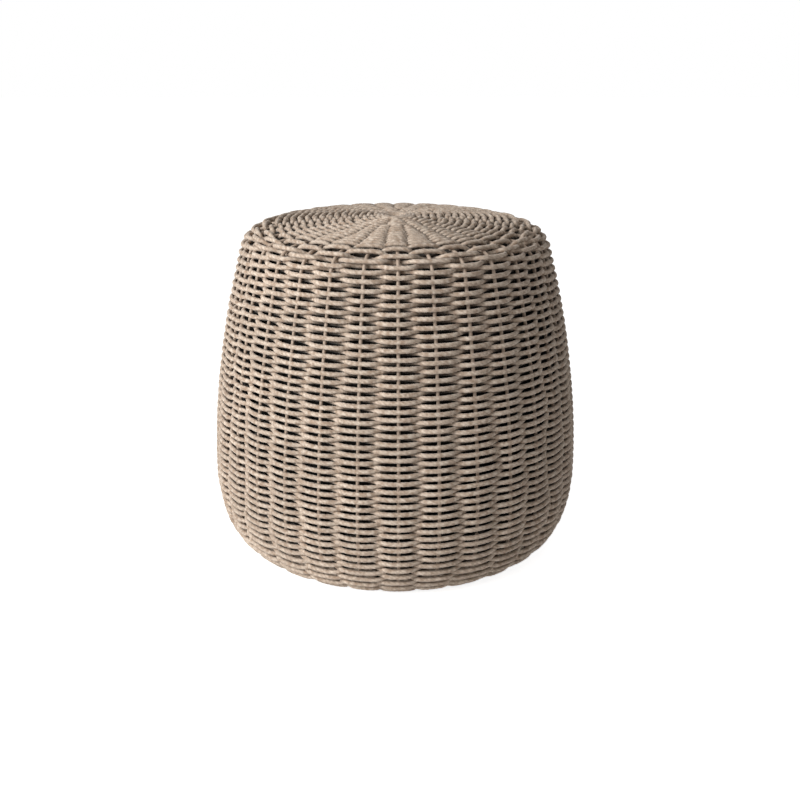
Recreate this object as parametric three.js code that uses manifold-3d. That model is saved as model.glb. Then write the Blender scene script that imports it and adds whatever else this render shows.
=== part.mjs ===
// A round woven footstool for the garden: a barrel of twisted rope, plainly woven over thin rods
// that run from a hub in the seat, over the shoulder and down to a ring at the foot.
// Lengths are millimetres, +Z is up, -Y is the front, and the origin is on the ground under the axis.
import * as THREE from "three";
import { mergeVertices } from "three/addons/utils/BufferGeometryUtils.js";
import Module from "manifold-3d";

const wasm = await Module();
wasm.setup();

// Outside of the barrel
const seatHeight = 440;
const domeRise = 13.4;
const domeEdgeRadius = 172;
const shoulderRadius = 38;
const shoulderTilt = 16.3;
const bellyRadius = 250;
const bellyHeight = 88.5;
const flankHandleTop = 115;
const flankHandleBelly = 85;
const footHandleBelly = 10;
const footHandleEnd = 35;
const footTilt = 45;
const footRadius = 26;
const footInset = 46.6;
const undersideHeight = 3.5;
const hemReach = 8;

// Rope and rods
const ropeDiameter = 6;
const stakeDiameter = 4.2;
const stakeCount = 31;
const stakeBearing = 0.95;
const clearance = 0.3;
const shortStakeStart = 62;
const stakeEndMargin = 3;
const hubDiameter = 48;
const hubThickness = 4.2;
const hubPocketMargin = 18;
const liningThickness = 1;

// Welded frame under the weave
const seatRingTube = 16;
const seatRingTilt = 45;
const baseRingTube = 14;
const baseRingInset = 7.4;
const uprightTube = 16;
const seatBarTube = 12;
const hubPostDiameter = 16;
const legCount = 4;

// Glides
const glideDiameter = 17;
const glideThickness = 3.2;
const glideStemDiameter = 5;

// Where the inner rope passes stop above the base ring, as a share of the stretch below the belly
const hemShare = 0.7;

// How finely the curves are divided
const domeMiddleShare = 0.62;
const ringSegments = 40;
const tubeSides = 8;
const rodSides = 6;
const roundSides = 16;
const shoulderSteps = 4;
const flankSteps = 4;
const lowerFlankSteps = 3;
const footSteps = 2;

const radians = THREE.MathUtils.degToRad;

// Depths below the outer rope surface: outer rope pass, rod, inner rope pass, lining
const stakeFrontDepth = ropeDiameter + clearance;
const stakeDepth = stakeFrontDepth + stakeDiameter / 2;
const stakeBackDepth = stakeFrontDepth + stakeDiameter;
const wallDepth = stakeBackDepth + clearance + ropeDiameter;
const liningDepth = wallDepth + clearance;
const liningBackDepth = liningDepth + liningThickness;

// The dome is a shallow sphere, and the shoulder and the foot are arcs tangent to it and to the flank.
const domeRadius = (domeEdgeRadius ** 2 + domeRise ** 2) / (2 * domeRise);
const domeEdgeTilt = 90 - THREE.MathUtils.radToDeg(Math.asin(domeEdgeRadius / domeRadius));
const domeCentreHeight = seatHeight - domeRadius;
const shoulderCentre = new THREE.Vector2(
  domeEdgeRadius - shoulderRadius * Math.cos(radians(domeEdgeTilt)),
  seatHeight - domeRise - shoulderRadius * Math.sin(radians(domeEdgeTilt)),
);
const footCentre = new THREE.Vector2(bellyRadius - footInset, undersideHeight + footRadius);

// A station is a point of the outline in the (radius, height) plane with its outward normal.
function station(point, normal) {
  return { point, normal };
}

function inside(place, depth) {
  return place.point.clone().addScaledVector(place.normal, -depth);
}

function domeStation(radius) {
  const normal = new THREE.Vector2(radius, Math.sqrt(domeRadius ** 2 - radius ** 2)).normalize();
  return station(new THREE.Vector2(radius, domeCentreHeight + domeRadius * normal.y), normal);
}

// Tilt is measured upwards from the horizontal, so it is negative on the foot.
function arcStation(centre, radius, tilt) {
  const normal = new THREE.Vector2(Math.cos(radians(tilt)), Math.sin(radians(tilt)));
  return station(centre.clone().addScaledVector(normal, radius), normal);
}

function arcStations(centre, radius, fromTilt, toTilt, steps) {
  return Array.from({ length: steps + 1 }, (_, i) =>
    arcStation(centre, radius, fromTilt + ((toTilt - fromTilt) * i) / steps));
}

function curveStation(curve, share) {
  const tangent = curve.getTangent(share);
  return station(curve.getPoint(share), new THREE.Vector2(-tangent.y, tangent.x));
}

const belly = new THREE.Vector2(bellyRadius, bellyHeight);
const shoulderEnd = arcStation(shoulderCentre, shoulderRadius, shoulderTilt);
const footStart = arcStation(footCentre, footRadius, -footTilt);
const downShoulder = new THREE.Vector2(shoulderEnd.normal.y, -shoulderEnd.normal.x);
const upFoot = new THREE.Vector2(-footStart.normal.y, footStart.normal.x);
const flank = new THREE.CubicBezierCurve(
  shoulderEnd.point,
  shoulderEnd.point.clone().addScaledVector(downShoulder, flankHandleTop),
  belly.clone().add(new THREE.Vector2(0, flankHandleBelly)),
  belly,
);
const lowerFlank = new THREE.CubicBezierCurve(
  belly,
  belly.clone().add(new THREE.Vector2(0, -footHandleBelly)),
  footStart.point.clone().addScaledVector(upFoot, footHandleEnd),
  footStart.point,
);

// Stretches of the outline from the seat down, shared by the weave and the rods
const hubPocketRadius = hubDiameter / 2 + hubPocketMargin;
const domeStations = [hubPocketRadius, shortStakeStart, domeEdgeRadius * domeMiddleShare].map(domeStation);
const shoulderStations = arcStations(
  shoulderCentre,
  shoulderRadius,
  domeEdgeTilt,
  shoulderTilt,
  shoulderSteps,
);
const flankStations = Array.from({ length: flankSteps }, (_, i) => curveStation(flank, (i + 1) / flankSteps));
const lowerFlankStations = Array.from({ length: lowerFlankSteps }, (_, i) =>
  curveStation(lowerFlank, (hemShare * (i + 1)) / lowerFlankSteps));
const footStations = arcStations(footCentre, footRadius, -footTilt, -90, footSteps);

// The base ring lies in the foot, and the weave turns under it as far as its hem.
const baseRingCentre = new THREE.Vector2(
  footCentre.x - baseRingInset,
  undersideHeight + stakeBackDepth + clearance + baseRingTube / 2,
);
const hemRadius = baseRingCentre.x - hemReach;

function undersideStation(radius) {
  return station(new THREE.Vector2(radius, undersideHeight), new THREE.Vector2(0, -1));
}

function geometryOf(positions, index) {
  const geometry = new THREE.BufferGeometry();
  geometry.setAttribute("position", new THREE.Float32BufferAttribute(positions, 3));
  geometry.setIndex(index);
  return geometry;
}

function solidOf(geometry) {
  const bare = geometry.clone();
  bare.deleteAttribute("normal");
  bare.deleteAttribute("uv");
  const merged = mergeVertices(bare, clearance / 100);
  return new wasm.Manifold(new wasm.Mesh({
    numProp: 3,
    vertProperties: merged.attributes.position.array,
    triVerts: new Uint32Array(merged.index.array),
  }));
}

function geometryFrom(solid) {
  const mesh = solid.getMesh();
  return geometryOf(Array.from(mesh.vertProperties), Array.from(mesh.triVerts));
}

// A round bar along a path of (radius, height) points in the plane that faces the front
function rodGeometry(path, diameter, sides) {
  const positions = [];
  const index = [];
  path.forEach((point, i) => {
    const before = path[Math.max(i - 1, 0)];
    const after = path[Math.min(i + 1, path.length - 1)];
    const along = after.clone().sub(before).normalize();
    for (let side = 0; side < sides; side += 1) {
      const angle = (Math.PI * (2 * side + 1)) / sides;
      const across = (diameter / 2) * Math.cos(angle);
      const out = (diameter / 2) * Math.sin(angle);
      const radius = point.x - along.y * out;
      const height = point.y + along.x * out;
      positions.push(across, -radius, height);
    }
  });
  const ring = (i, side) => i * sides + (side % sides);
  for (let i = 0; i + 1 < path.length; i += 1) {
    for (let side = 0; side < sides; side += 1) {
      index.push(ring(i, side), ring(i, side + 1), ring(i + 1, side + 1));
      index.push(ring(i, side), ring(i + 1, side + 1), ring(i + 1, side));
    }
  }
  const last = path.length - 1;
  for (let side = 1; side + 1 < sides; side += 1) {
    index.push(ring(0, 0), ring(0, side + 1), ring(0, side));
    index.push(ring(last, 0), ring(last, side), ring(last, side + 1));
  }
  return geometryOf(positions, index);
}

// Every rod runs over the shoulder, down the side and in under the base ring. Every second one
// starts at the hub's rim, and the others further out, where the rope has room to pass between.
function stakeGeometry(domeStretch) {
  const path = [
    ...domeStretch,
    ...shoulderStations,
    ...flankStations,
    ...lowerFlankStations,
    ...footStations,
    undersideStation(hemRadius + stakeEndMargin),
  ].map((place) => inside(place, stakeDepth));
  return rodGeometry(path, stakeDiameter, rodSides);
}

function stakeTurn(number) {
  return radians(stakeBearing) + (2 * Math.PI * number) / stakeCount;
}

// Rope weave: its passes outside the rods and its passes inside them are two shells, with the rods
// between. A facet's edge lies on each rod and one midway to the next.
function lathe(profile) {
  return new THREE.LatheGeometry(profile, 2 * stakeCount).rotateX(Math.PI / 2).rotateZ(stakeTurn(0));
}

function shellProfile(places, frontDepth, backDepth) {
  return [
    ...places.map((place) => inside(place, backDepth)),
    ...[...places].reverse().map((place) => inside(place, frontDepth)),
  ];
}

function closed(profile) {
  return [...profile, profile[0].clone()];
}

const innerFrontDepth = stakeBackDepth + clearance;
const seamTilt = domeEdgeTilt + (shoulderTilt - domeEdgeTilt) / shoulderSteps;
const seamGapTilt = THREE.MathUtils.radToDeg(clearance / (shoulderRadius - wallDepth));
const topStations = [...domeStations, ...shoulderStations.slice(0, 2)];
const sideStations = [
  arcStation(shoulderCentre, shoulderRadius, seamTilt - seamGapTilt),
  ...shoulderStations.slice(2),
  ...flankStations,
  ...lowerFlankStations,
];

function topWeaveOver() {
  const places = [domeStation(0), ...topStations];
  return lathe(shellProfile(places, 0, ropeDiameter));
}

function topWeaveUnder() {
  return lathe(closed(shellProfile(topStations, innerFrontDepth, wallDepth)));
}

function innerSideShell(frontDepth, backDepth) {
  return lathe(closed(shellProfile(sideStations, frontDepth, backDepth)));
}

// The outer passes turn under the base ring, where each glide's stem comes up through them.
function sideWeaveOuter() {
  const places = [...sideStations, ...footStations, undersideStation(hemRadius)];
  let solid = solidOf(lathe(closed(shellProfile(places, 0, ropeDiameter))));
  const holeRadius = glideStemDiameter / 2 + clearance;
  const hole = new THREE.CylinderGeometry(holeRadius, holeRadius, 2 * baseRingCentre.y, roundSides)
    .rotateX(Math.PI / 2)
    .translate(0, -baseRingCentre.x, 0);
  for (let leg = 0; leg < legCount; leg += 1) {
    solid = solid.subtract(solidOf(hole.clone().rotateZ(legTurn(leg))));
  }
  return geometryFrom(solid);
}

// The legs start an eighth of a spacing past a rod, where all four glide stems pass between rods.
const legOffsetShare = 1 / 8;

function legTurn(leg) {
  return stakeTurn(legOffsetShare) + (2 * Math.PI * leg) / legCount;
}

// Welded frame
function barGeometry(diameter, length) {
  return new THREE.CylinderGeometry(diameter / 2, diameter / 2, length, roundSides);
}

// The seat ring props the shoulder from inside the lining, whose facets stand a little inwards.
const liningArcRadius = shoulderRadius - liningBackDepth;
const acrossSagitta = bellyRadius * (1 - Math.cos(Math.PI / (2 * stakeCount)));
const downSagitta = liningArcRadius
  * (1 - Math.cos(radians((domeEdgeTilt - shoulderTilt) / (2 * shoulderSteps))));
const seatRingCentre = arcStation(
  shoulderCentre,
  liningArcRadius - acrossSagitta - downSagitta - clearance - seatRingTube / 2,
  seatRingTilt,
).point;

function ringGeometry(centre, tube) {
  return new THREE.TorusGeometry(centre.x, tube / 2, tubeSides, ringSegments).translate(0, 0, centre.y);
}

// An upright stands on the base ring and meets the seat ring from below.
function uprightGeometry() {
  const foot = baseRingCentre.clone().add(new THREE.Vector2(0, baseRingTube / 2 + clearance));
  const head = seatRingCentre.clone().sub(new THREE.Vector2(0, seatRingTube / 2 + clearance));
  const middle = foot.clone().add(head).multiplyScalar(1 / 2);
  const lean = Math.atan2(foot.x - head.x, head.y - foot.y);
  return barGeometry(uprightTube, foot.distanceTo(head))
    .rotateX(Math.PI / 2 - lean)
    .translate(0, -middle.x, middle.y);
}

const seatBarReach = seatRingCentre.x - seatRingTube / 2 - clearance
  - (seatBarTube / 2) * Math.tan(Math.PI / ringSegments);
const hubTop = inside(domeStation(hubPocketRadius), stakeFrontDepth).y;
const hubBottom = hubTop - hubThickness;
const seatBarTop = seatRingCentre.y + seatBarTube / 2;

function hubPostGeometry() {
  const length = hubBottom - seatBarTop - 2 * clearance;
  return barGeometry(hubPostDiameter, length)
    .rotateX(Math.PI / 2)
    .translate(0, 0, seatBarTop + clearance + length / 2);
}

function hubGeometry() {
  return barGeometry(hubDiameter, hubThickness)
    .rotateX(Math.PI / 2)
    .translate(0, 0, (hubTop + hubBottom) / 2);
}

// A glide is a flat foot below the weave with a stem up to the base ring.
function glideGeometry() {
  const stemTop = baseRingCentre.y - baseRingTube / 2 - clearance;
  const profile = [
    new THREE.Vector2(0, 0),
    new THREE.Vector2(glideDiameter / 2, 0),
    new THREE.Vector2(glideDiameter / 2, glideThickness),
    new THREE.Vector2(glideStemDiameter / 2, glideThickness),
    new THREE.Vector2(glideStemDiameter / 2, stemTop),
    new THREE.Vector2(0, stemTop),
  ];
  return new THREE.LatheGeometry(profile, roundSides).rotateX(Math.PI / 2).translate(0, -baseRingCentre.x, 0);
}

// Finishes
const rope = new THREE.MeshStandardMaterial({ color: 0xb09f8d, roughness: 0.9, metalness: 0 });
const rod = new THREE.MeshStandardMaterial({ color: 0xb3a08c, roughness: 0.6, metalness: 0.2 });
const frameTube = new THREE.MeshStandardMaterial({ color: 0x5a5048, roughness: 0.5, metalness: 0.4 });
const plastic = new THREE.MeshStandardMaterial({ color: 0x2b2826, roughness: 0.6, metalness: 0 });
const cloth = new THREE.MeshStandardMaterial({ color: 0x1c1a18, roughness: 1, metalness: 0 });

const footstool = new THREE.Group();

function addPiece(name, geometry, material, turn = 0) {
  const mesh = new THREE.Mesh(geometry, material);
  mesh.name = name;
  mesh.rotation.z = turn;
  footstool.add(mesh);
}

addPiece("top_weave_over", topWeaveOver(), rope);
addPiece("top_weave_under", topWeaveUnder(), rope);
addPiece("side_weave_outer", sideWeaveOuter(), rope);
addPiece("side_weave_inner", innerSideShell(innerFrontDepth, wallDepth), rope);
addPiece("inner_lining", innerSideShell(liningDepth, liningBackDepth), cloth);

const longStake = stakeGeometry([domeStation(hubDiameter / 2 + clearance), ...domeStations]);
const shortStake = stakeGeometry(domeStations.slice(1));
for (let number = 0; number < stakeCount; number += 1) {
  const isLong = number % 2 === 0 && number < stakeCount - 1;
  const name = "stake_" + String(number + 1).padStart(2, "0");
  addPiece(name, isLong ? longStake : shortStake, rod, stakeTurn(number));
}
addPiece("hub_disc", hubGeometry(), rod);
addPiece("hub_post", hubPostGeometry(), frameTube);
addPiece("seat_ring", ringGeometry(seatRingCentre, seatRingTube), frameTube);
addPiece("base_ring", ringGeometry(baseRingCentre, baseRingTube), frameTube);
addPiece(
  "seat_bar_front_back",
  barGeometry(seatBarTube, 2 * seatBarReach).translate(0, 0, seatRingCentre.y),
  frameTube,
  legTurn(0),
);
const shortBarLength = seatBarReach - seatBarTube / 2 - clearance;
for (const [side, sign] of [["left", -1], ["right", 1]]) {
  const offset = sign * (seatBarReach - shortBarLength / 2);
  const shortBar = barGeometry(seatBarTube, shortBarLength).rotateZ(Math.PI / 2);
  addPiece(
    "seat_bar_" + side,
    shortBar.translate(offset, 0, seatRingCentre.y),
    frameTube,
    legTurn(0),
  );
}
for (let leg = 0; leg < legCount; leg += 1) {
  addPiece("upright_" + (leg + 1), uprightGeometry(), frameTube, legTurn(leg));
  addPiece("glide_" + (leg + 1), glideGeometry(), plastic, legTurn(leg));
}

export default footstool;
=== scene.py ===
"""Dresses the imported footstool: twisted rope woven in and out of thin rods, over a welded frame."""

import math

import bmesh
import bpy
import numpy as np
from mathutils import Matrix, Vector


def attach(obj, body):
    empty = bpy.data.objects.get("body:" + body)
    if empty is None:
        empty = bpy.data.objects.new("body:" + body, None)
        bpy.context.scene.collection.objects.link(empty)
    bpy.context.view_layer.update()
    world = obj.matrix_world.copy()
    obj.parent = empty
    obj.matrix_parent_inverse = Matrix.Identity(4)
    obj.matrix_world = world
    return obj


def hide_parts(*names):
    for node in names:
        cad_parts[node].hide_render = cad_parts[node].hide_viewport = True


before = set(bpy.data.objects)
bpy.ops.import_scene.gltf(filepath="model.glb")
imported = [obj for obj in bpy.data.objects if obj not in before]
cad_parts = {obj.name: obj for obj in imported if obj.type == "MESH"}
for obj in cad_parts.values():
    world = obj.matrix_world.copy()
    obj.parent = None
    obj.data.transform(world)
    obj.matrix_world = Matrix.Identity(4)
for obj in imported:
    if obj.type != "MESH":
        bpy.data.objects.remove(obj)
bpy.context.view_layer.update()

# Sizes are millimetres and turns are radians, unless a name says otherwise
MM = 0.001
FULL_TURN = 2 * math.pi

# Outside of the barrel, as the solids have it
SEAT_HEIGHT = 440.0
DOME_RISE = 13.4
DOME_EDGE_RADIUS = 172.0
SHOULDER_RADIUS = 38.0
SHOULDER_TILT = math.radians(16.3)
BELLY_RADIUS = 250.0
BELLY_HEIGHT = 88.5
FLANK_HANDLE_TOP = 115.0
FLANK_HANDLE_BELLY = 85.0
FOOT_HANDLE_BELLY = 10.0
FOOT_HANDLE_END = 35.0
FOOT_TILT = math.radians(45)
FOOT_RADIUS = 26.0
FOOT_CENTRE_RADIUS = 203.4
UNDERSIDE_HEIGHT = 3.5
HEM_RADIUS = 188.0
OUTLINE_STEP = 0.5

# Rope
ROPE_DIAMETER = 6.0
ROPE_LAY = 18.0
STRAND_COUNT = 3
SECTION_SIDES_PER_STRAND = 3
STEPS_PER_LAY = 8
GROOVE_SHARE = 0.91
CLEARANCE = 0.3
# The rope's middle line is worked out at turns this far apart, in radians
TURN_STEP = 0.002

# Row spacing along the outline, at distances from the middle of the seat: the rows are close on
# the seat, open out where they turn over the shoulder, and open a little again round the foot
ROW_SPACING = (
    (0.0, 4.6),
    (140.0, 4.6),
    (148.0, 5.4),
    (156.0, 8.6),
    (163.0, 10.0),
    (173.0, 10.9),
    (180.0, 11.5),
    (186.0, 10.0),
    (192.0, 8.6),
    (199.0, 8.4),
    (204.0, 6.5),
    (209.0, 5.6),
    (216.0, 5.35),
    (240.0, 5.1),
    (290.0, 5.1),
    (345.0, 4.94),
    (400.0, 4.815),
    (530.0, 4.79),
    (562.0, 5.38),
    (590.0, 6.15),
    (620.0, 6.3),
)
# A row passes outside the front rod at this distance
FRONT_ROW_DISTANCE = 202.1
# Round the sides and the back the rows crowd outwards to the rim: by how much there, at distances
# down the outline, and how far round from the front that is in full
CROWDING = ((40.0, 0.0), (165.0, 10.0), (172.0, 9.0), (182.0, 5.5), (193.0, 2.5), (210.0, 0.0))
CROWDING_TURN = math.radians(80)
# Over the shoulder and round the foot the weave stands a little prouder
PROUDNESS = (
    (110.0, 0.0),
    (150.0, 1.5),
    (195.0, 1.5),
    (230.0, 0.0),
    (565.0, 0.0),
    (590.0, 1.5),
    (610.0, 1.5),
    (622.0, 0.0),
)

# Passes behind the rods get painted shade where the rows are close. Depths are below the outside of
# the weave. The depths it starts at and the shares of it are at distances down the outline.
PAINTED_SHADE_START = ((155.0, 3.5), (172.0, 8.0))
PAINTED_SHADE_SPAN = 4.0
PAINTED_SHADE_SHARE = (
    (155.0, 0.9),
    (168.0, 1.0),
    (180.0, 0.0),
    (203.0, 0.0),
    (210.0, 1.0),
    (568.0, 1.0),
    (592.0, 0.4),
)

# Rods
ROD_DIAMETER = 4.2
ROD_COUNT = 31
FIRST_ROD_TURN = math.radians(0.95)
LONG_ROD_START = 24.3
SHORT_ROD_START = 62.0
ROD_END_MARGIN = 3.0
ROD_SIDES = 12
ROD_STEP = 5.0

# The seat's part of the rope ends at the first number, and the rest is cut into like parts
SEAM_DISTANCE = 183.0
SIDE_PARTS = 7
SEAT_NODES = ("top_weave_over", "top_weave_under")
SIDE_NODES = ("side_weave_outer", "side_weave_inner")
# How far out the rope begins, and over what length and how deep its two ends dip out of sight
COIL_START = 3.0
TUCK_LENGTH = 14.0
TUCK_DEPTH = 9.0
# Margin of a row of the map for baking, as a share of the row
BAKE_MARGIN = 0.03

# Yarn colours, and the painted shade in the grooves and behind the rods
YARN_LIGHT = "e5d4c2"
YARN_DARK = "b19984"
YARN_GREY = "aa9a8a"
GROOVE_SHADE = "6f5d4e"
PAINTED_SHADE_BEHIND_RODS = "120e0b"
# Tones of the other finishes, the light one first
ROD_COAT = ("c9b6a5", "af9b88")
FRAME_COAT = ("5f554c", "4a423a")
CLOTH_TONES = ("1d1b19", "0b0a09")
CLOTH_DUST_TONE = "3a352f"
PLASTIC_TONES = ("2e2b28", "1a1917")
FLOOR_TONE = "f0f0f0"

# Pattern sizes: the rope's fibre bundles, yarn blotches and slow drift of tone, the coat's dust
# patches and orange peel, the cloth's dust, and the plastic's grain
FIBRE_BUNDLE = 0.9
YARN_BLOTCH = 5.0
TONE_DRIFT = 60.0
COAT_DUST = 9.0
COAT_PEEL = 1.0
CLOTH_DUST = 30.0
PLASTIC_GRAIN = 0.7

# Hand work: how much rows sway and dip, and how far the crossings between two rods wander
RANDOM_SEED = 7
ROW_SWAY = 0.3
ROW_DIP = 0.15
CROSSING_WANDER = 0.07
WANDER_ROWS = 9

# Lining cloth: how deep in the wall it lies, where it begins and ends, and its thread spacing
LINING_DEPTH = 2 * ROPE_DIAMETER + ROD_DIAMETER + 3 * CLEARANCE
LINING_THICKNESS = 1.0
LINING_START = 183.0
LINING_END = 616.0
LINING_STEP = 12.0
LINING_SEGMENTS = 124
CLOTH_THREAD = 1.5

# Welded frame: rings as (radius, height) of the tube's middle
SEAT_RING = (173.95, 396.89)
SEAT_RING_TUBE = 16.0
BASE_RING = (196.0, 21.3)
BASE_RING_TUBE = 14.0
UPRIGHT_TUBE = 16.0
SEAT_BAR_TUBE = 12.0
HUB_POST_TUBE = 16.0
HUB_POST_BOTTOM = 403.2
HUB_DISC = (24.0, 428.7, 432.9)
HUB_EDGE = 0.8
HUB_SEGMENTS = 96
FIRST_LEG_TURN = FIRST_ROD_TURN + FULL_TURN / ROD_COUNT / 8
LEG_COUNT = 4
TUBE_SIDES = 32
TUBE_POINTS = 12
RING_SEGMENTS = 180
# How far a coped end runs into the tube that it is welded to
COPE_DEPTH = 4.0
# Weld beads, how much their ripples swell them, and how far the post's upper one is below the disc
BEAD_SIZE = 1.7
BEAD_SIDES = 10
BEAD_SEGMENTS = 48
BEAD_RIPPLES = 22
BEAD_RIPPLE_RISE = 0.22
BEAD_POINTS_PER_RIPPLE = 4
BEAD_DROP = 0.4

# Glides: the foot's (radius, height) outline with its rounded rim, and a ribbed stem
GLIDE_OUTLINE = (
    (0.0, 0.0), (6.9, 0.0), (7.9, 0.3), (8.4, 1.0), (8.5, 1.7), (8.2, 2.5), (7.3, 3.1), (6.2, 3.2),
    (3.1, 3.2), (2.5, 3.7), (2.5, 5.6), (2.2, 6.2), (2.5, 6.8), (2.5, 8.4), (2.2, 9.0), (2.5, 9.6),
    (2.5, 11.4), (2.2, 12.6), (1.5, 14.0), (0.0, 14.0),
)
GLIDE_SEGMENTS = 40

# Light, in metres and watts: the world's strength on the object, and two lamps
AMBIENT_STRENGTH = 0.25
KEY_WATTS = 45.5
KEY_PLACE = (-1.56, -1.24, 1.22)
KEY_SIZE = 1.1
FILL_WATTS = 2
FILL_PLACE = (1.1, -0.7, 1.7)
FILL_SIZE = 1.4
LAMP_AIM_HEIGHT = 0.2
FLOOR_HALF_WIDTH = 12.0
FLOOR_GLOW = 0.85
# The floor's glow sets in between these distances from the middle, so under the stool it is dark
FLOOR_SHADE = (0.194, 0.2)

# Camera: lens and sensor in millimetres, and its place in metres
LENS = 42.75
SENSOR_WIDTH = 36
FRAME_SHIFT = 0.0059
EYE_PITCH = math.radians(20.4)
EYE_DISTANCE = 1.3243
EYE_AIM_HEIGHT = 0.1812

# Depths of the rods' middle and of the rope's swing to either side of it
ROD_DEPTH = ROPE_DIAMETER + CLEARANCE + ROD_DIAMETER / 2
WEAVE_REACH = ROPE_DIAMETER / 2 + CLEARANCE + ROD_DIAMETER / 2
# The rope holds to its side of a rod for longer than a plain wave would
WAVE_FULLNESS = 0.35
# Where rows are free of their neighbours the rope stays out for longer and dips in more sharply.
# The taut rope would also run level, so where the wall leans back an inside pass lies higher than
# the outside passes do. Both are shares, at distances down the outline.
OUTWARD_LIFT = (
    (140.0, 0.25),
    (165.0, 0.35),
    (185.0, 0.5),
    (200.0, 0.5),
    (212.0, 0.0),
    (560.0, 0.0),
    (590.0, 0.45),
)
LEVELNESS = (
    (168.0, 0.0),
    (180.0, 0.6),
    (186.0, 1.0),
    (194.0, 1.0),
    (202.0, 1.3),
    (212.0, 1.3),
    (226.0, 0.9),
    (245.0, 0.75),
    (560.0, 0.75),
    (600.0, 0.0),
)


def arc(centre, radius, start, end, count=240):
    """Points of an arc in the (radius, height) plane, its turns measured up from the horizontal."""
    turn = np.linspace(start, end, count)
    return centre + radius * np.stack([np.cos(turn), np.sin(turn)], axis=1)


def bezier(start, start_handle, end_handle, end, count=900):
    t = np.linspace(0, 1, count)[:, None]
    near = (1 - t) ** 3 * start + 3 * (1 - t) ** 2 * t * start_handle
    return near + 3 * (1 - t) * t**2 * end_handle + t**3 * end


def barrel_outline():
    """The outside from the middle of the seat down to the hem, as distance, points and normals."""
    dome_radius = (DOME_EDGE_RADIUS**2 + DOME_RISE**2) / (2 * DOME_RISE)
    dome_centre = np.array([0.0, SEAT_HEIGHT - dome_radius])
    dome_edge_turn = math.acos(DOME_EDGE_RADIUS / dome_radius)
    dome_edge = np.array([DOME_EDGE_RADIUS, SEAT_HEIGHT - DOME_RISE])
    outwards = np.array([math.cos(dome_edge_turn), math.sin(dome_edge_turn)])
    shoulder_centre = dome_edge - SHOULDER_RADIUS * outwards
    shoulder_normal = np.array([math.cos(SHOULDER_TILT), math.sin(SHOULDER_TILT)])
    shoulder_end = shoulder_centre + SHOULDER_RADIUS * shoulder_normal
    down_shoulder = np.array([shoulder_normal[1], -shoulder_normal[0]])
    belly = np.array([BELLY_RADIUS, BELLY_HEIGHT])
    foot_centre = np.array([FOOT_CENTRE_RADIUS, UNDERSIDE_HEIGHT + FOOT_RADIUS])
    foot_normal = np.array([math.cos(FOOT_TILT), -math.sin(FOOT_TILT)])
    foot_start = foot_centre + FOOT_RADIUS * foot_normal
    up_foot = np.array([-foot_normal[1], foot_normal[0]])
    stretches = [
        arc(dome_centre, dome_radius, math.pi / 2, dome_edge_turn),
        arc(shoulder_centre, SHOULDER_RADIUS, dome_edge_turn, SHOULDER_TILT),
        bezier(
            shoulder_end,
            shoulder_end + FLANK_HANDLE_TOP * down_shoulder,
            belly + [0, FLANK_HANDLE_BELLY],
            belly,
        ),
        bezier(
            belly,
            belly - [0, FOOT_HANDLE_BELLY],
            foot_start + FOOT_HANDLE_END * up_foot,
            foot_start,
        ),
        arc(foot_centre, FOOT_RADIUS, -FOOT_TILT, -math.pi / 2),
        np.array([[FOOT_CENTRE_RADIUS, UNDERSIDE_HEIGHT], [HEM_RADIUS, UNDERSIDE_HEIGHT]]),
    ]
    points = np.concatenate([stretches[0]] + [stretch[1:] for stretch in stretches[1:]])
    lengths = np.hypot(*np.diff(points, axis=0).T)
    travelled = np.concatenate([[0], np.cumsum(lengths)])
    distance = np.arange(0, travelled[-1], OUTLINE_STEP)
    even = np.stack([np.interp(distance, travelled, points[:, i]) for i in (0, 1)], axis=1)
    along = np.gradient(even, distance, axis=0)
    normals = np.stack([-along[:, 1], along[:, 0]], axis=1)
    normals /= np.hypot(*normals.T)[:, None]
    return distance, even, normals


OUTLINE_DISTANCE, OUTLINE_POINTS, OUTLINE_NORMALS = barrel_outline()
OUTLINE_LENGTH = OUTLINE_DISTANCE[-1]


def on_outline(distance, values):
    return np.stack([np.interp(distance, OUTLINE_DISTANCE, values[:, i]) for i in (0, 1)], axis=1)


def turned(radius, height, turn):
    return np.stack([radius * np.sin(turn), -radius * np.cos(turn), height], axis=1)


def at_distance(distance, table):
    """A table's value at each distance down the outline."""
    return np.interp(distance, *np.array(table).T)


def place(distance, depth, turn):
    """Points at a distance down the outline, a depth inside it, and a turn round from the front."""
    depth = (depth - at_distance(distance, PROUDNESS))[:, None]
    inside = on_outline(distance, OUTLINE_POINTS) - on_outline(distance, OUTLINE_NORMALS) * depth
    return turned(*inside.T, turn)


def down_and_out(distance, turn):
    """The direction down the outline and the one out of the weave, at each place."""
    normal = on_outline(distance, OUTLINE_NORMALS)
    return turned(normal[:, 1], -normal[:, 0], turn), turned(*normal.T, turn)


def rod_turn(number):
    return FIRST_ROD_TURN + FULL_TURN * number / ROD_COUNT


def is_long_rod(number):
    """Every second rod reaches the hub, which makes an odd number of them, as the weave needs."""
    return (number % 2 == 0) & (number < ROD_COUNT - 1)


def rope_turn_at_distance():
    """How far round the rope has gone at each distance down the outline."""
    spacing = at_distance(OUTLINE_DISTANCE, ROW_SPACING)
    turn = np.concatenate([[0], np.cumsum(FULL_TURN * OUTLINE_STEP / spacing[:-1])])
    at_front_row = np.interp(FRONT_ROW_DISTANCE, OUTLINE_DISTANCE, turn)
    rounds = math.ceil(at_front_row / FULL_TURN)
    return turn + rounds * FULL_TURN + rod_turn(0) - at_front_row, rounds


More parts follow.
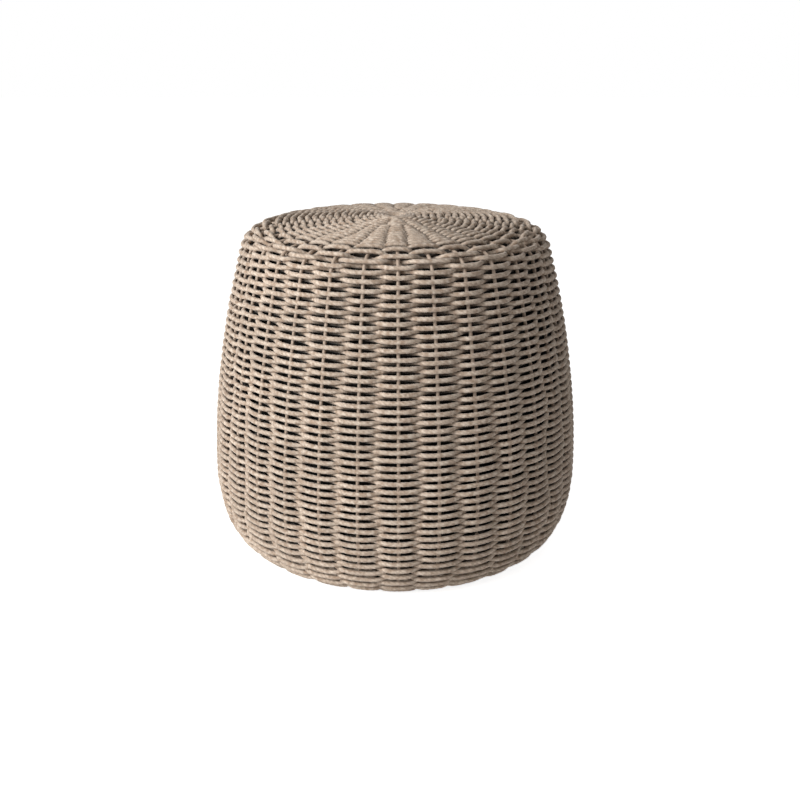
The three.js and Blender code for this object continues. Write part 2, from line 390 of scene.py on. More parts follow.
def crossings(turn_at_distance, rounds_to_front_row):
    """Turns at which the rope meets a rod, the rod, and which crossing is outside the front rod."""
    rounds = int(turn_at_distance[-1] / FULL_TURN) + 1
    numbers = np.arange(rounds * ROD_COUNT)
    turns = rod_turn(numbers)
    radius = on_outline(np.interp(turns, turn_at_distance, OUTLINE_DISTANCE), OUTLINE_POINTS)[:, 0]
    rod = numbers % ROD_COUNT
    start = np.where(is_long_rod(rod), LONG_ROD_START, SHORT_ROD_START)
    met = (radius > start) & (turns < turn_at_distance[-1]) & (turns > turn_at_distance[0])
    outside = int(met[: rounds_to_front_row * ROD_COUNT].sum())
    return turns[met], rod[met], outside


def smooth_wander(randomness, count, rod):
    """A slow random drift for each gap between two rods, going down the barrel."""
    rounds = count // ROD_COUNT + 2
    noise = randomness.normal(0, 1, (rounds + WANDER_ROWS, ROD_COUNT))
    window = np.ones(WANDER_ROWS) / math.sqrt(WANDER_ROWS)
    drift = np.stack([np.convolve(column, window, "valid") for column in noise.T], axis=1)
    return CROSSING_WANDER * drift[np.arange(count) // ROD_COUNT, rod]


def woven_path():
    """The rope's middle line from the seat to the hem: points, distance, turn, depth, squeeze."""
    turn_at_distance, rounds = rope_turn_at_distance()
    met, rod, outside = crossings(turn_at_distance, rounds)
    first_turn = np.interp(COIL_START, OUTLINE_DISTANCE, turn_at_distance)
    turn = np.arange(first_turn, met[-1], TURN_STEP)
    distance = np.interp(turn, turn_at_distance, OUTLINE_DISTANCE)
    spacing = at_distance(distance, ROW_SPACING)
    index = np.interp(turn, met, np.arange(len(met)))
    before = np.minimum(np.floor(index).astype(int), len(met) - 2)
    share = index - before
    randomness = np.random.default_rng(RANDOM_SEED)
    sway = randomness.normal(0, ROW_SWAY, len(met))
    dip = np.abs(randomness.normal(0, ROW_DIP, len(met)))
    wander = smooth_wander(randomness, len(met), rod)
    ease = (1 - np.cos(math.pi * share)) / 2
    phase = before + outside + share + 4 * wander[before] * share * (1 - share)
    wave = np.cos(math.pi * phase)
    wave = wave * (1 + WAVE_FULLNESS * (1 - wave**2))
    squeeze = np.minimum(1, np.hypot(spacing, 2 * WEAVE_REACH * wave) / ROPE_DIAMETER)
    wave += at_distance(distance, OUTWARD_LIFT) * (1 - wave**2)
    depth = ROD_DEPTH - WEAVE_REACH * wave
    depth += dip[before] * (1 - ease) + dip[before + 1] * ease
    tucked = np.clip(1 - (distance - COIL_START) / TUCK_LENGTH, 0, 1)
    tucked += np.clip(1 - (OUTLINE_LENGTH - distance) / TUCK_LENGTH, 0, 1)
    depth += TUCK_DEPTH * tucked**2
    normal = on_outline(distance, OUTLINE_NORMALS)
    # How far the wall leans back, as rise over reach
    slope = np.clip(normal[:, 1] / np.maximum(normal[:, 0], 0.1), -1, 1)
    level = at_distance(distance, LEVELNESS)
    from_front = np.arccos(np.cos(turn))
    side_share = (1 - np.cos(np.minimum(from_front / CROWDING_TURN, 1) * math.pi)) / 2
    distance = distance + side_share * at_distance(distance, CROWDING)
    distance += sway[before] * (1 - ease) + sway[before + 1] * ease
    distance += level * WEAVE_REACH * slope * (wave - 1)
    return place(distance, depth, turn), distance, turn, depth, squeeze


def even_steps(points, *columns, step):
    lengths = np.linalg.norm(np.diff(points, axis=0), axis=1)
    travelled = np.concatenate([[0], np.cumsum(lengths)])
    wanted = np.arange(0, travelled[-1], step)
    even = [np.interp(wanted, travelled, column) for column in (*points.T, *columns)]
    return np.stack(even[:3], axis=1), *even[3:]


def linked(name, data):
    made = bpy.data.objects.new(name, data)
    bpy.context.scene.collection.objects.link(made)
    return made


def section_curve(name, radii):
    """A closed outline for a swept bar, one radius for each of its evenly turned points."""
    curve = bpy.data.curves.new(name, "CURVE")
    curve.dimensions = "2D"
    spline = curve.splines.new("POLY")
    spline.points.add(len(radii) - 1)
    for i, radius in enumerate(radii):
        turn = FULL_TURN * i / len(radii)
        spline.points[i].co = (radius * MM * math.cos(turn), radius * MM * math.sin(turn), 0, 1)
    spline.use_cyclic_u = True
    return linked(name, curve)


def swept(name, section, points, twist=None, swell=None, closed=False):
    """A mesh swept along points, turned by twist and thickened by swell: cap, rings, cap."""
    curve = bpy.data.curves.new(name, "CURVE")
    curve.dimensions = "3D"
    curve.twist_mode = "Z_UP"
    curve.bevel_mode = "OBJECT"
    curve.bevel_object = section
    curve.use_fill_caps = True
    spline = curve.splines.new("POLY")
    spline.points.add(len(points) - 1)
    places = np.concatenate([points * MM, np.ones((len(points), 1))], axis=1)
    spline.points.foreach_set("co", places.astype(np.float32).ravel())
    spline.use_cyclic_u = closed
    if twist is not None:
        spline.points.foreach_set("tilt", twist.astype(np.float32))
    if swell is not None:
        spline.points.foreach_set("radius", swell.astype(np.float32))
    path = linked(name + "_path", curve)
    evaluated = path.evaluated_get(bpy.context.evaluated_depsgraph_get())
    mesh = bpy.data.meshes.new_from_object(evaluated)
    bpy.data.objects.remove(path)
    bpy.data.curves.remove(curve)
    mesh.name = name
    return linked(name, mesh)


def rings_of(sides, ring_count):
    """The ring and the place round it of each vertex of a swept mesh. Caps repeat the end rings."""
    ring = np.concatenate([[0], np.arange(ring_count), [ring_count - 1]]).repeat(sides)
    return ring, np.tile(np.arange(sides), ring_count + 2)


def settle_rope(mesh, sides, points, distance, turn, depth, squeeze):
    """Flattens the rope between its neighbouring rows, and marks how far back each point lies, as an
    amount of painted shade.
    """
    ring, _ = rings_of(sides, len(points))
    down, out = down_and_out(distance, turn)
    places = np.empty(len(mesh.vertices) * 3, dtype=np.float32)
    mesh.vertices.foreach_get("co", places)
    places = places.reshape(-1, 3)
    offset = places - (points * MM)[ring]
    along = np.einsum("ij,ij->i", offset, down[ring])
    places += (along * (squeeze[ring] - 1))[:, None] * down[ring]
    mesh.vertices.foreach_set("co", places.astype(np.float32).ravel())
    vertex_depth = depth[ring] - np.einsum("ij,ij->i", offset, out[ring]) / MM
    # Painted shade: the farther a point lies behind the outside of the weave, the darker it is
    # painted
    painted_shade = (vertex_depth - at_distance(distance[ring], PAINTED_SHADE_START)) / PAINTED_SHADE_SPAN
    painted_shade = np.clip(painted_shade, 0, 1) * at_distance(distance[ring], PAINTED_SHADE_SHARE)
    marks = mesh.attributes.new("PaintedShadeBehindRods", "FLOAT", "POINT")
    marks.data.foreach_set("value", painted_shade.astype(np.float32))


def corner_rings(mesh, sides, ring_count):
    """For each face corner its ring and place round it, counted on past the last at the seam."""
    ring, side = rings_of(sides, ring_count)
    corner_vertex = np.empty(len(mesh.loops), dtype=np.int32)
    mesh.loops.foreach_get("vertex_index", corner_vertex)
    totals = np.empty(len(mesh.polygons), dtype=np.int32)
    mesh.polygons.foreach_get("loop_total", totals)
    face = np.repeat(np.arange(len(totals)), totals)
    corner_ring, corner_side = ring[corner_vertex], side[corner_vertex]
    face_side = np.full(len(totals), -1)
    np.maximum.at(face_side, face, corner_side)
    is_wall = totals[face] == 4
    at_seam = is_wall & (face_side[face] == sides - 1) & (corner_side == 0)
    face_ring = np.full(len(totals), ring_count)
    np.minimum.at(face_ring, face, corner_ring)
    return corner_ring, np.where(at_seam, sides, corner_side), face_ring[face], is_wall


def set_map(mesh, name, u, v):
    layer = mesh.uv_layers.get(name) or mesh.uv_layers.new(name=name)
    layer.uv.foreach_set("vector", np.stack([u, v], axis=1).astype(np.float32).ravel())


def map_rope(mesh, sides, ring_count, step, first_step):
    """A map in metres along the rope and turns round it, and a map in rows for baking."""
    ring, side, face_ring, is_wall = corner_rings(mesh, sides, ring_count)
    mesh.uv_layers[0].name = "RopeRun"
    set_map(mesh, "RopeRun", (ring + first_step) * step * MM, side / sides)
    width = math.pi * ROPE_DIAMETER
    rows = max(1, round(math.sqrt(ring_count * step / width)))
    rings_in_row = math.ceil((ring_count + 6) / rows)
    first = np.where(is_wall, face_ring, np.where(ring == 0, ring_count + 1, ring_count + 4))
    row = first // rings_in_row
    across = (first % rings_in_row + np.where(is_wall, ring - face_ring, 0)) / rings_in_row
    up = BAKE_MARGIN + (1 - 2 * BAKE_MARGIN) * side / sides
    # A cap lies past the end of its row as a small oval
    cap_turn = FULL_TURN * side / sides
    across = np.where(is_wall, across, across + (0.5 + 0.4 * np.cos(cap_turn)) / rings_in_row)
    up = np.where(is_wall, up, 0.5 + 0.1 * np.sin(cap_turn))
    set_map(mesh, "OFBake", across, (row + up) / rows)


def close_ends(mesh, sides):
    """Joins each cap to its end ring."""
    shape = bmesh.new()
    shape.from_mesh(mesh)
    shape.verts.ensure_lookup_table()
    ends = shape.verts[: 2 * sides] + shape.verts[-2 * sides :]
    bmesh.ops.remove_doubles(shape, verts=ends, dist=1e-6)
    shape.to_mesh(mesh)
    shape.free()


def hex_colour(code):
    """A linear colour from an sRGB hex value."""
    parts = [int(code[i : i + 2], 16) / 255 for i in (0, 2, 4)]
    linear = [p / 12.92 if p <= 0.04045 else ((p + 0.055) / 1.055) ** 2.4 for p in parts]
    return (*linear, 1)


def new_material(name):
    material = bpy.data.materials.new(name)
    material.use_nodes = True
    return material, material.node_tree, material.node_tree.nodes["Principled BSDF"]


def add(tree, kind, inputs=None, **settings):
    """Adds a node with its settings and returns its outputs. An input is a plain value, a hex
    colour, or another node's output, which is linked."""
    node = tree.nodes.new(kind)
    for name, value in settings.items():
        setattr(node, name, value)
    for name, value in (inputs or {}).items():
        if isinstance(value, bpy.types.NodeSocket):
            tree.links.new(value, node.inputs[name])
        else:
            node.inputs[name].default_value = hex_colour(value) if isinstance(value, str) else value
    return node.outputs


def rope_material():
    """Spun polyolefin rope, three strands laid up, heather taupe: matt, with fibres that run along
    the rope, faint grooves between the strands darkened with painted shade, a mottle of light and
    dark yarn, and painted shade where the rope passes behind the rods."""
    material, tree, shader = new_material("laid_olefin_rope")
    run = add(tree, "ShaderNodeUVMap", uv_map="RopeRun")[0]
    along, around, _ = add(tree, "ShaderNodeSeparateXYZ", {0: run})
    where = add(tree, "ShaderNodeTexCoord")["Object"]
    # Grooves are at whole thirds of a turn round the rope, and crowns midway between them
    inputs = {0: around, 1: FULL_TURN * STRAND_COUNT}
    strand = add(tree, "ShaderNodeMath", inputs, operation="MULTIPLY")[0]
    strand = add(tree, "ShaderNodeMath", {0: strand}, operation="COSINE")[0]
    groove = add(tree, "ShaderNodeMapRange", {0: strand, 1: 0.2, 2: 1.0, 4: 0.18})[0]
    # Fibres lie along the rope while the strands wind round it
    wound = add(tree, "ShaderNodeMath", {0: along, 1: ROPE_LAY * MM}, operation="DIVIDE")[0]
    fibre_turn = add(tree, "ShaderNodeMath", {0: around, 1: wound}, operation="SUBTRACT")[0]
    girth = math.pi * ROPE_DIAMETER * MM
    round_rope = add(tree, "ShaderNodeMath", {0: fibre_turn, 1: girth}, operation="MULTIPLY")[0]
    stretched = add(tree, "ShaderNodeMath", {0: along, 1: 0.2}, operation="MULTIPLY")[0]
    fibre_place = add(tree, "ShaderNodeCombineXYZ", {0: stretched, 1: round_rope})[0]
    inputs = {"Vector": fibre_place, "Scale": 1 / (FIBRE_BUNDLE * MM), "Detail": 2.0}
    fibre = add(tree, "ShaderNodeTexNoise", inputs)[0]
    inputs = {"Vector": where, "Scale": 1 / (YARN_BLOTCH * MM), "Detail": 1.0}
    blotch = add(tree, "ShaderNodeTexNoise", inputs)[0]
    inputs = {"Vector": where, "Scale": 1 / (TONE_DRIFT * MM), "Detail": 1.0}
    drift = add(tree, "ShaderNodeTexNoise", inputs)[0]
    both = add(tree, "ShaderNodeMix", {0: 0.25, 2: blotch, 3: fibre})[0]
    yarn = add(tree, "ShaderNodeMapRange", {0: both, 1: 0.36, 2: 0.64})[0]
    colour = add(tree, "ShaderNodeMix", {0: yarn, 6: YARN_DARK, 7: YARN_LIGHT}, data_type="RGBA")[2]
    grey = add(tree, "ShaderNodeMapRange", {0: drift, 1: 0.35, 2: 0.7, 4: 0.3})[0]
    colour = add(tree, "ShaderNodeMix", {0: grey, 6: colour, 7: YARN_GREY}, data_type="RGBA")[2]
    # The grooves between the strands are darkened with painted shade, on top of the dip in the rope's
    # outline
    inputs = {0: groove, 6: colour, 7: GROOVE_SHADE}
    colour = add(tree, "ShaderNodeMix", inputs, data_type="RGBA")[2]
    # Painted shade on the passes that lie far behind the rods
    painted_shade = add(tree, "ShaderNodeAttribute", attribute_name="PaintedShadeBehindRods")["Fac"]
    painted_shade = add(tree, "ShaderNodeMath", {0: painted_shade, 1: 0.95}, operation="MULTIPLY")[0]
    colour = add(tree, "ShaderNodeMix", {0: painted_shade, 6: colour, 7: PAINTED_SHADE_BEHIND_RODS}, data_type="RGBA")[2]
    tree.links.new(colour, shader.inputs["Base Color"])
    height = add(tree, "ShaderNodeMix", {0: 0.6, 2: fibre, 3: blotch})[0]
    inputs = {"Height": height, "Strength": 0.45, "Distance": 0.8 * MM}
    bump = add(tree, "ShaderNodeBump", inputs)[0]
    tree.links.new(bump, shader.inputs["Normal"])
    shader.inputs["Roughness"].default_value = 0.85
    shader.inputs["Specular IOR Level"].default_value = 0.3
    shader.inputs["Sheen Weight"].default_value = 0.2
    shader.inputs["Sheen Roughness"].default_value = 0.5
    return material


def coat_material(name, tones, roughness):
    """Polyester powder coat on metal: a fine orange-peel skin with faint patches of dust."""
    material, tree, shader = new_material(name)
    where = add(tree, "ShaderNodeTexCoord")["Object"]
    inputs = {"Vector": where, "Scale": 1 / (COAT_DUST * MM), "Detail": 3.0}
    dust = add(tree, "ShaderNodeTexNoise", inputs)[0]
    inputs = {"Vector": where, "Scale": 1 / (COAT_PEEL * MM), "Detail": 1.0}
    peel = add(tree, "ShaderNodeTexNoise", inputs)[0]
    patches = add(tree, "ShaderNodeMapRange", {0: dust, 1: 0.3, 2: 0.7})[0]
    tone = add(tree, "ShaderNodeMix", {0: 0.3, 2: patches, 3: peel})[0]
    inputs = {0: tone, 6: tones[1], 7: tones[0]}
    colour = add(tree, "ShaderNodeMix", inputs, data_type="RGBA")[2]
    tree.links.new(colour, shader.inputs["Base Color"])
    bump = add(tree, "ShaderNodeBump", {"Height": peel, "Strength": 0.25, "Distance": 0.1 * MM})[0]
    tree.links.new(bump, shader.inputs["Normal"])
    inputs = {0: patches, 3: roughness - 0.06, 4: roughness + 0.08}
    rough = add(tree, "ShaderNodeMapRange", inputs)[0]
    tree.links.new(rough, shader.inputs["Roughness"])
    return material


def cloth_material():
    """Black spun lining cloth in a plain weave, matt and a little dusty. Its threads are 0.6 mm
    apart and drawn at 1.5 mm, so that they show. Its black is partly painted shade: behind the
    weave it keeps every gap dark."""
    material, tree, shader = new_material("black_cloth_and_painted_shade")
    run = add(tree, "ShaderNodeUVMap", uv_map="ClothRun")[0]
    threads = []
    for axis in add(tree, "ShaderNodeSeparateXYZ", {0: run})[:2]:
        inputs = {0: axis, 1: FULL_TURN / (CLOTH_THREAD * MM)}
        turn = add(tree, "ShaderNodeMath", inputs, operation="MULTIPLY")[0]
        threads.append(add(tree, "ShaderNodeMath", {0: turn}, operation="SINE")[0])
    height = add(tree, "ShaderNodeMath", {0: threads[0], 1: threads[1]}, operation="MULTIPLY")[0]
    crown = add(tree, "ShaderNodeMapRange", {0: height, 1: -1.0, 2: 1.0})[0]
    inputs = {0: crown, 6: CLOTH_TONES[1], 7: CLOTH_TONES[0]}
    colour = add(tree, "ShaderNodeMix", inputs, data_type="RGBA")[2]
    where = add(tree, "ShaderNodeTexCoord")["Object"]
    inputs = {"Vector": where, "Scale": 1 / (CLOTH_DUST * MM), "Detail": 4.0}
    drifts = add(tree, "ShaderNodeTexNoise", inputs)[0]
    dust = add(tree, "ShaderNodeMapRange", {0: drifts, 1: 0.4, 2: 0.8, 4: 0.15})[0]
    inputs = {0: dust, 6: colour, 7: CLOTH_DUST_TONE}
    colour = add(tree, "ShaderNodeMix", inputs, data_type="RGBA")[2]
    tree.links.new(colour, shader.inputs["Base Color"])
    bump = add(tree, "ShaderNodeBump", {"Height": height, "Strength": 0.5, "Distance": 0.2 * MM})[0]
    tree.links.new(bump, shader.inputs["Normal"])
    shader.inputs["Roughness"].default_value = 0.95
    shader.inputs["Specular IOR Level"].default_value = 0.15
    return material


def plastic_material():
    """Moulded black polypropylene, with a fine spark-eroded grain that dulls it."""
    material, tree, shader = new_material("moulded_polypropylene")
    where = add(tree, "ShaderNodeTexCoord")["Object"]
    inputs = {"Vector": where, "Scale": 1 / (PLASTIC_GRAIN * MM), "Detail": 2.0}
    grain = add(tree, "ShaderNodeTexNoise", inputs)[0]
    inputs = {0: grain, 6: PLASTIC_TONES[1], 7: PLASTIC_TONES[0]}
    colour = add(tree, "ShaderNodeMix", inputs, data_type="RGBA")[2]
    tree.links.new(colour, shader.inputs["Base Color"])
    bump = add(tree, "ShaderNodeBump", {"Height": grain, "Strength": 0.3, "Distance": 0.1 * MM})[0]
    tree.links.new(bump, shader.inputs["Normal"])
    shader.inputs["Roughness"].default_value = 0.55
    return material


def dress(piece, material, slot, *nodes):
    piece.data.materials.clear()
    piece.data.materials.append(material)
    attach(piece, "root")
    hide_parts(*nodes)


def weave():
    material = rope_material()
    radii = []
    for _ in range(STRAND_COUNT):
        radii += [GROOVE_SHARE * ROPE_DIAMETER / 2]
        radii += [ROPE_DIAMETER / 2] * (SECTION_SIDES_PER_STRAND - 1)
    section = section_curve("rope_section", radii)
    sides = len(radii)
    step = ROPE_LAY / STEPS_PER_LAY
    points, *columns = even_steps(*woven_path(), step=step)
    distance = columns[0]
    twist = FULL_TURN * np.arange(len(points)) / STEPS_PER_LAY
    seam = int(np.argmax(distance > SEAM_DISTANCE))
    cuts = [0] + [seam + (len(points) - seam) * i // SIDE_PARTS for i in range(SIDE_PARTS + 1)]
    for number, (start, end) in enumerate(zip(cuts[:-1], cuts[1:])):
        part = slice(start, min(end + 1, len(points)))
        name = "side_rope_" + str(number) if number else "seat_rope"
        nodes = SIDE_NODES if number else SEAT_NODES
        piece = swept(name, section, points[part], twist[part])
        settle_rope(piece.data, sides, points[part], *[column[part] for column in columns])
        map_rope(piece.data, sides, len(points[part]), step, start)
        close_ends(piece.data, sides)
        dress(piece, material, "rope", *nodes)
    bpy.data.objects.remove(section)


def rods(material):
    section = section_curve("rod_section", [ROD_DIAMETER / 2] * ROD_SIDES)
    for number in range(ROD_COUNT):
        start = LONG_ROD_START if is_long_rod(number) else SHORT_ROD_START
        distance = np.arange(start, OUTLINE_LENGTH - ROD_END_MARGIN, ROD_STEP)
        depth = np.full_like(distance, ROD_DEPTH)
        points = place(distance, depth, np.full_like(distance, rod_turn(number)))
        piece = swept("bent_rod_" + str(number + 1).zfill(2), section, points)
        close_ends(piece.data, ROD_SIDES)
        dress(piece, material, "rod", "stake_" + str(number + 1).zfill(2))
    bpy.data.objects.remove(section)


def spun(name, profile, segments, closed=True, centre=(0, 0)):
    """A mesh from (radius, height) points spun round an upright axis, its faces outwards."""
    shape = bmesh.new()
    verts = [shape.verts.new((radius * MM, 0, height * MM)) for radius, height in profile]
    pairs = zip(verts, verts[1:] + verts[:1]) if closed else zip(verts, verts[1:])
    edges = [shape.edges.new(pair) for pair in pairs]
    bmesh.ops.spin(
        shape,
        geom=verts + edges,
        axis=(0, 0, 1),
        angle=FULL_TURN,
        steps=segments,
        use_merge=True,
    )
    bmesh.ops.remove_doubles(shape, verts=shape.verts, dist=1e-7)
    bmesh.ops.recalc_face_normals(shape, faces=shape.faces)
    bmesh.ops.translate(shape, verts=shape.verts, vec=(centre[0] * MM, centre[1] * MM, 0))
    for face in shape.faces:
        face.smooth = True
    mesh = bpy.data.meshes.new(name)
    shape.to_mesh(mesh)
    shape.free()
    return linked(name, mesh)


def joined(name, pieces):
    """One piece from several."""
    shape = bmesh.new()
    for piece in pieces:
        shape.from_mesh(piece.data)
        bpy.data.objects.remove(piece)
    mesh = bpy.data.meshes.new(name)
    shape.to_mesh(mesh)
    shape.free()
    return linked(name, mesh)


def tube_ring(name, centre, tube, segments=RING_SEGMENTS):
    turns = np.arange(TUBE_SIDES) * FULL_TURN / TUBE_SIDES
    profile = np.array(centre) + tube / 2 * np.stack([np.cos(turns), np.sin(turns)], axis=1)
    return spun(name, profile, segments)


def straight_tube(name, start, end, tube):
    """A straight tube between two points, as a bar with closed ends."""
    section = section_curve(name + "_section", [tube / 2] * TUBE_SIDES)
    piece = swept(name, section, np.linspace(start, end, TUBE_POINTS))
    close_ends(piece.data, TUBE_SIDES)
    bpy.data.objects.remove(section)
    return piece


def weld_bead(name, place_at, tube):
    """A rippled bead round a tube's end, where place_at gives a point for a turn round the tube."""
    section = section_curve(name + "_section", [BEAD_SIZE] * BEAD_SIDES)
    count = BEAD_RIPPLES * BEAD_POINTS_PER_RIPPLE
    turns = np.arange(count) * FULL_TURN / count
    reach = tube / 2 + BEAD_SIZE / 4
    points = place_at(reach * np.cos(turns), reach * np.sin(turns))
    swell = 1 + BEAD_RIPPLE_RISE * np.abs(np.sin(turns * BEAD_RIPPLES / 2))
    piece = swept(name, section, points, swell=swell, closed=True)
    bpy.data.objects.remove(section)
    return piece


def on_round(tube, offset):
    """How far a tube's skin rises over its middle, at an offset across it. Near the tube's edge,
    past nine tenths of its radius, the rise stays as it is there."""
    half = tube / 2
    return np.sqrt(half**2 - np.minimum(np.abs(offset), 0.9 * half) ** 2)


def leg_axes(leg):
    """The direction out from the barrel's axis at a leg, and the one along the ring there."""
    turn = FIRST_LEG_TURN + FULL_TURN * leg / LEG_COUNT
    out = np.array([math.sin(turn), -math.cos(turn), 0.0])
    return out, np.array([math.cos(turn), math.sin(turn), 0.0])


def welded_frame(coat):
    """Two rings, four uprights between them, crossed seat bars, the hub's post, and their welds."""
    up = np.array([0.0, 0.0, 1.0])
    dress(tube_ring("seat_tube_ring", SEAT_RING, SEAT_RING_TUBE), coat, "frame", "seat_ring")
    dress(tube_ring("base_tube_ring", BASE_RING, BASE_RING_TUBE), coat, "frame", "base_ring")
    beads = []
    bar_reach = SEAT_RING[0] - SEAT_RING_TUBE / 2 + COPE_DEPTH
    for leg in range(LEG_COUNT):
        out, along = leg_axes(leg)
        foot = BASE_RING[0] * out + (BASE_RING[1] + BASE_RING_TUBE / 2 - COPE_DEPTH) * up
        head = SEAT_RING[0] * out + (SEAT_RING[1] - SEAT_RING_TUBE / 2 + COPE_DEPTH) * up
        upright = straight_tube("upright_tube_" + str(leg + 1), foot, head, UPRIGHT_TUBE)
        dress(upright, coat, "frame", "upright_" + str(leg + 1))

        def at_foot(x, y, out=out, along=along):
            height = BASE_RING[1] + on_round(BASE_RING_TUBE, y)
            return BASE_RING[0] * out + np.outer(x, along) + np.outer(y, out) + np.outer(height, up)

        def at_head(x, y, out=out, along=along):
            height = SEAT_RING[1] - on_round(SEAT_RING_TUBE, y)
            return SEAT_RING[0] * out + np.outer(x, along) + np.outer(y, out) + np.outer(height, up)

        def at_bar(x, y, out=out, along=along):
            reach = SEAT_RING[0] - on_round(SEAT_RING_TUBE, y)
            return np.outer(reach, out) + np.outer(x, along) + (SEAT_RING[1] + y)[:, None] * up

        beads.append(weld_bead("foot_bead", at_foot, UPRIGHT_TUBE))
        beads.append(weld_bead("head_bead", at_head, UPRIGHT_TUBE))
        beads.append(weld_bead("bar_bead", at_bar, SEAT_BAR_TUBE))
    front, right = leg_axes(0)
    middle = SEAT_RING[1] * up
    ends = middle + bar_reach * front, middle - bar_reach * front
    through = straight_tube("through_bar_tube", *ends, SEAT_BAR_TUBE)
    dress(through, coat, "frame", "seat_bar_front_back")
    for side, sign in (("left", -1), ("right", 1)):
        inner = middle + sign * (SEAT_BAR_TUBE / 2 - COPE_DEPTH / 2) * right
        outer = middle + sign * bar_reach * right
        half = straight_tube("half_bar_tube_" + side, inner, outer, SEAT_BAR_TUBE)
        dress(half, coat, "frame", "seat_bar_" + side)

        def at_cross(x, y, sign=sign):
            reach = sign * on_round(SEAT_BAR_TUBE, y)
            return np.outer(reach, right) + np.outer(x, front) + (SEAT_RING[1] + y)[:, None] * up

        beads.append(weld_bead("cross_bead", at_cross, SEAT_BAR_TUBE))
    for name, height in (
        ("post_foot_bead", HUB_POST_BOTTOM),
        ("post_head_bead", HUB_DISC[1] - BEAD_DROP),
    ):
        beads.append(tube_ring(name, (HUB_POST_TUBE / 2, height), 2 * BEAD_SIZE, BEAD_SEGMENTS))
    dress(joined("weld_beads", beads), coat, "frame")
    post_bottom = (SEAT_RING[1] + SEAT_BAR_TUBE / 2 - COPE_DEPTH / 2) * up
    post_top = (HUB_DISC[1] - CLEARANCE) * up
    post = straight_tube("hub_post_tube", post_bottom, post_top, HUB_POST_TUBE)
    dress(post, coat, "frame", "hub_post")


def hub(coat):
    """The flat disc that the long rods are welded to, with its edges broken."""
    radius, bottom, top = HUB_DISC
    profile = [
        (0, bottom),
        (radius - HUB_EDGE, bottom),
        (radius, bottom + HUB_EDGE),
        (radius, top - HUB_EDGE),
        (radius - HUB_EDGE, top),
        (0, top),
    ]
    dress(spun("hub_plate", profile, HUB_SEGMENTS, closed=False), coat, "rod", "hub_disc")


def glides(plastic):
    for leg in range(LEG_COUNT):
        out, _ = leg_axes(leg)
        piece = spun(
            "moulded_glide_" + str(leg + 1),
            GLIDE_OUTLINE,
            GLIDE_SEGMENTS,
            closed=False,
            centre=BASE_RING[0] * out[:2],
        )
        dress(piece, plastic, "glide", "glide_" + str(leg + 1))


def lining():
    """The cloth inside the wall, from the shoulder down to the base ring. It is partly painted shade:
    its black keeps every gap between the rows dark.
    """
    distance = np.arange(LINING_START, LINING_END, LINING_STEP)
    normals = on_outline(distance, OUTLINE_NORMALS)
    outer = on_outline(distance, OUTLINE_POINTS) - normals * LINING_DEPTH
    inner = outer - normals * LINING_THICKNESS
    piece = spun("lining_and_painted_shade", [*outer, *inner[::-1]], LINING_SEGMENTS)
    mesh = piece.data
    corner_vertex = np.empty(len(mesh.loops), dtype=np.int32)
    mesh.loops.foreach_get("vertex_index", corner_vertex)
    places = np.empty(len(mesh.vertices) * 3, dtype=np.float32)
    mesh.vertices.foreach_get("co", places)
    x, y, z = places.reshape(-1, 3)[corner_vertex].T
    set_map(mesh, "ClothRun", np.arctan2(y, x) * BELLY_RADIUS * MM, z)
    dress(piece, cloth_material(), "lining", "inner_lining")


def seen_ray(tree):
    """1 for rays that the eye follows straight, in a gloss or through glass."""
    ray = add(tree, "ShaderNodeLightPath")
    inputs = {0: ray["Is Camera Ray"], 1: ray["Is Glossy Ray"]}
    seen = add(tree, "ShaderNodeMath", inputs, operation="MAXIMUM")[0]
    inputs = {0: seen, 1: ray["Is Transmission Ray"]}
    return add(tree, "ShaderNodeMath", inputs, operation="MAXIMUM")[0]


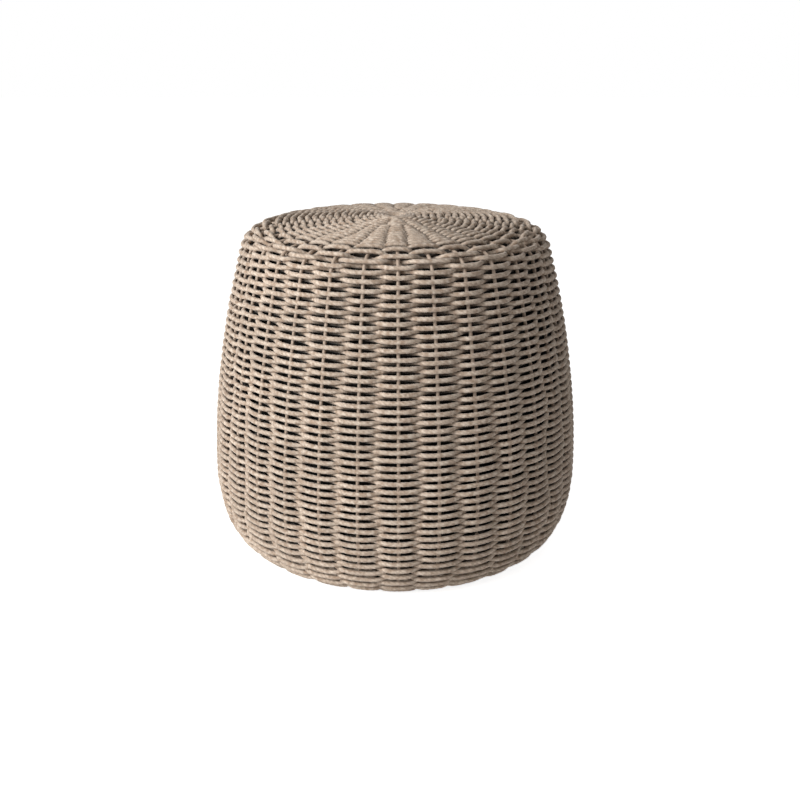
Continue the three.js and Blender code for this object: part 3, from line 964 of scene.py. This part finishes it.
def studio():
    """A bright even studio: soft light from all round, and one large lamp to the upper left."""
    world = bpy.data.worlds.new("studio")
    bpy.context.scene.world = world
    world.use_nodes = True
    tree = world.node_tree
    seen = seen_ray(tree)
    strength = add(tree, "ShaderNodeMix", {0: seen, 2: AMBIENT_STRENGTH, 3: 1.0})[0]
    background = tree.nodes["Background"]
    tree.links.new(strength, background.inputs["Strength"])
    background.inputs["Color"].default_value = (1, 1, 1, 1)
    for name, watts, place_at, size in (
        ("key", KEY_WATTS, KEY_PLACE, KEY_SIZE),
        ("fill", FILL_WATTS, FILL_PLACE, FILL_SIZE),
    ):
        lamp_data = bpy.data.lights.new(name, "AREA")
        lamp_data.size = size
        lamp_data.energy = watts
        lamp = linked(name, lamp_data)
        lamp.location = place_at
        aim = Vector((0, 0, LAMP_AIM_HEIGHT)) - lamp.location
        lamp.rotation_euler = aim.to_track_quat("-Z", "Y").to_euler()
    shape = bmesh.new()
    bmesh.ops.create_grid(shape, x_segments=1, y_segments=1, size=FLOOR_HALF_WIDTH)
    floor_mesh = bpy.data.meshes.new("floor")
    shape.to_mesh(floor_mesh)
    shape.free()
    floor = linked("floor", floor_mesh)
    material, tree, shader = new_material("white_studio_floor")
    shader.inputs["Base Color"].default_value = hex_colour(FLOOR_TONE)
    shader.inputs["Roughness"].default_value = 1
    shader.inputs["Emission Color"].default_value = (1, 1, 1, 1)
    where = add(tree, "ShaderNodeTexCoord")["Object"]
    reach = add(tree, "ShaderNodeVectorMath", {0: where}, operation="LENGTH")["Value"]
    inputs = {0: reach, 1: FLOOR_SHADE[0], 2: FLOOR_SHADE[1], 4: FLOOR_GLOW}
    open_floor = add(tree, "ShaderNodeMapRange", inputs)[0]
    glow = add(tree, "ShaderNodeMath", {0: seen_ray(tree), 1: open_floor}, operation="MULTIPLY")[0]
    tree.links.new(glow, shader.inputs["Emission Strength"])
    floor.data.materials.append(material)


def camera():
    """The photograph's eye: 1.32 m from the stool's middle, looking down at 20.4 degrees."""
    data = bpy.data.cameras.new("camera")
    data.lens = LENS
    data.sensor_width = SENSOR_WIDTH
    data.shift_x = FRAME_SHIFT
    eye = linked("camera", data)
    back, rise = EYE_DISTANCE * math.cos(EYE_PITCH), EYE_DISTANCE * math.sin(EYE_PITCH)
    eye.location = (0, -back, EYE_AIM_HEIGHT + rise)
    eye.rotation_euler = (math.pi / 2 - EYE_PITCH, 0, 0)
    bpy.context.scene.camera = eye


camera()
weave()
rod_coat = coat_material("taupe_powder_coat", ROD_COAT, 0.6)
rods(rod_coat)
hub(rod_coat)
lining()
welded_frame(coat_material("dark_powder_coat", FRAME_COAT, 0.5))
glides(plastic_material())
studio()
bpy.context.scene.view_settings.view_transform = "Standard"
